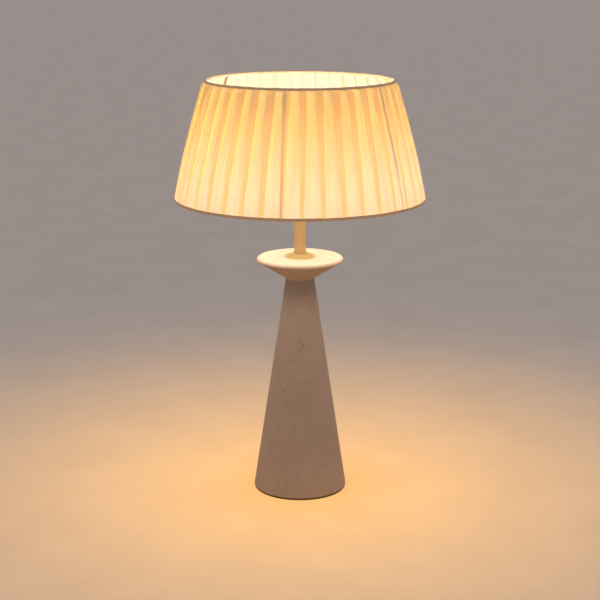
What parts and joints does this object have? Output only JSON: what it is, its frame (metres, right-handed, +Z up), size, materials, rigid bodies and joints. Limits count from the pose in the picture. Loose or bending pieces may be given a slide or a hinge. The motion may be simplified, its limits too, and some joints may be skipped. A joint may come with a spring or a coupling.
{
  "type": "table lamp",
  "caption": "Table lamp with a tapered cement base flaring to a dish, a short metal stem, a screw lampholder with bulb, and a conical knife-pleated cloth shade.",
  "frame": {"origin": "centre of the felt pad's underside, where the lamp stands", "axes": "+Z up along the stem; -Y to the front; +X to the right seen from the front; the mains inlet is at the back (+Y)"},
  "size_m": [0.3014, 0.3014, 0.5064],
  "materials": {
    "cement": "fine sandy cement, matt, with small air pits",
    "cream_paint": "satin cream paint",
    "pleated_cloth": "thin knife-pleated cream cloth, translucent",
    "hem_cloth": "rolled cloth hem",
    "shade_wire": "white dipped steel wire",
    "zinc_steel": "zinc plated",
    "brass": "plain brass",
    "nickel": "nickel plated brass",
    "ceramic": "unglazed white ceramic",
    "black_plastic": "matt moulded plastic",
    "white_plastic": "moulded plastic",
    "felt": "dense dark felt",
    "opal_glass": "opal white glass, lit from inside",
    "filament": "coated filament"
  },
  "bodies": {
    "base": {"cement_body": "cement", "base_pad": "felt", "inlet_grommet": "black_plastic", "tie_tube": "zinc_steel", "base_washer": "zinc_steel", "base_nut": "zinc_steel", "terminal_block": "white_plastic", "terminal_screw_1": "brass", "terminal_screw_2": "brass", "terminal_screw_3": "brass", "terminal_screw_4": "brass", "live_lead": "black_plastic", "neutral_lead": "white_plastic", "seat_plate": "cream_paint", "stem": "cream_paint", "holder_cap": "cream_paint", "holder_insert": "ceramic", "centre_contact": "brass", "screw_sleeve": "nickel", "holder_shell": "black_plastic"},
    "shade": {"shade_bottom_ring": "shade_wire", "shade_top_ring": "shade_wire", "shade_bottom_hem": "hem_cloth", "shade_top_hem": "hem_cloth", "fitter_ring": "shade_wire", "pleated_cover": "pleated_cloth", "shade_rib_1": "shade_wire", "shade_rib_2": "shade_wire", "shade_rib_3": "shade_wire", "shade_rib_4": "shade_wire", "shade_rib_5": "shade_wire", "shade_rib_6": "shade_wire", "spider_arm_1": "shade_wire", "spider_arm_2": "shade_wire", "spider_arm_3": "shade_wire"},
    "clamp_ring": {"shade_ring": "black_plastic"},
    "bulb_foot": {"bulb_contact": "brass"},
    "bulb": {"bulb_insulator": "black_plastic", "bulb_cap": "nickel", "bulb_glass": "opal_glass", "bulb_mount": "opal_glass", "bulb_filament_1": "filament", "bulb_filament_2": "filament", "bulb_filament_3": "filament", "bulb_filament_4": "filament"}
  },
  "joints": [
    {"name": "shade_turn", "type": "hinge", "parent": "base", "child": "shade", "pos_m": [0, 0, 0.369], "axis": [0, 0, 1], "continuous": true},
    {"name": "clamp_ring_lift", "type": "slide", "parent": "base", "child": "clamp_ring", "axis": [0, 0, 1], "range_m": [0, 0.02]},
    {"name": "bulb_rise", "type": "slide", "parent": "base", "child": "bulb_foot", "axis": [0, 0, 1], "range_m": [0, 0.01816]},
    {"name": "bulb_turn", "type": "hinge", "parent": "bulb_foot", "child": "bulb", "pos_m": [0, 0, 0.375], "axis": [0, 0, 1], "range_deg": [0, 1800]}
  ],
  "couplings": [
    {"joint": "bulb_rise", "follows": "bulb_turn", "m_per_rad": 0.00057757}
  ]
}
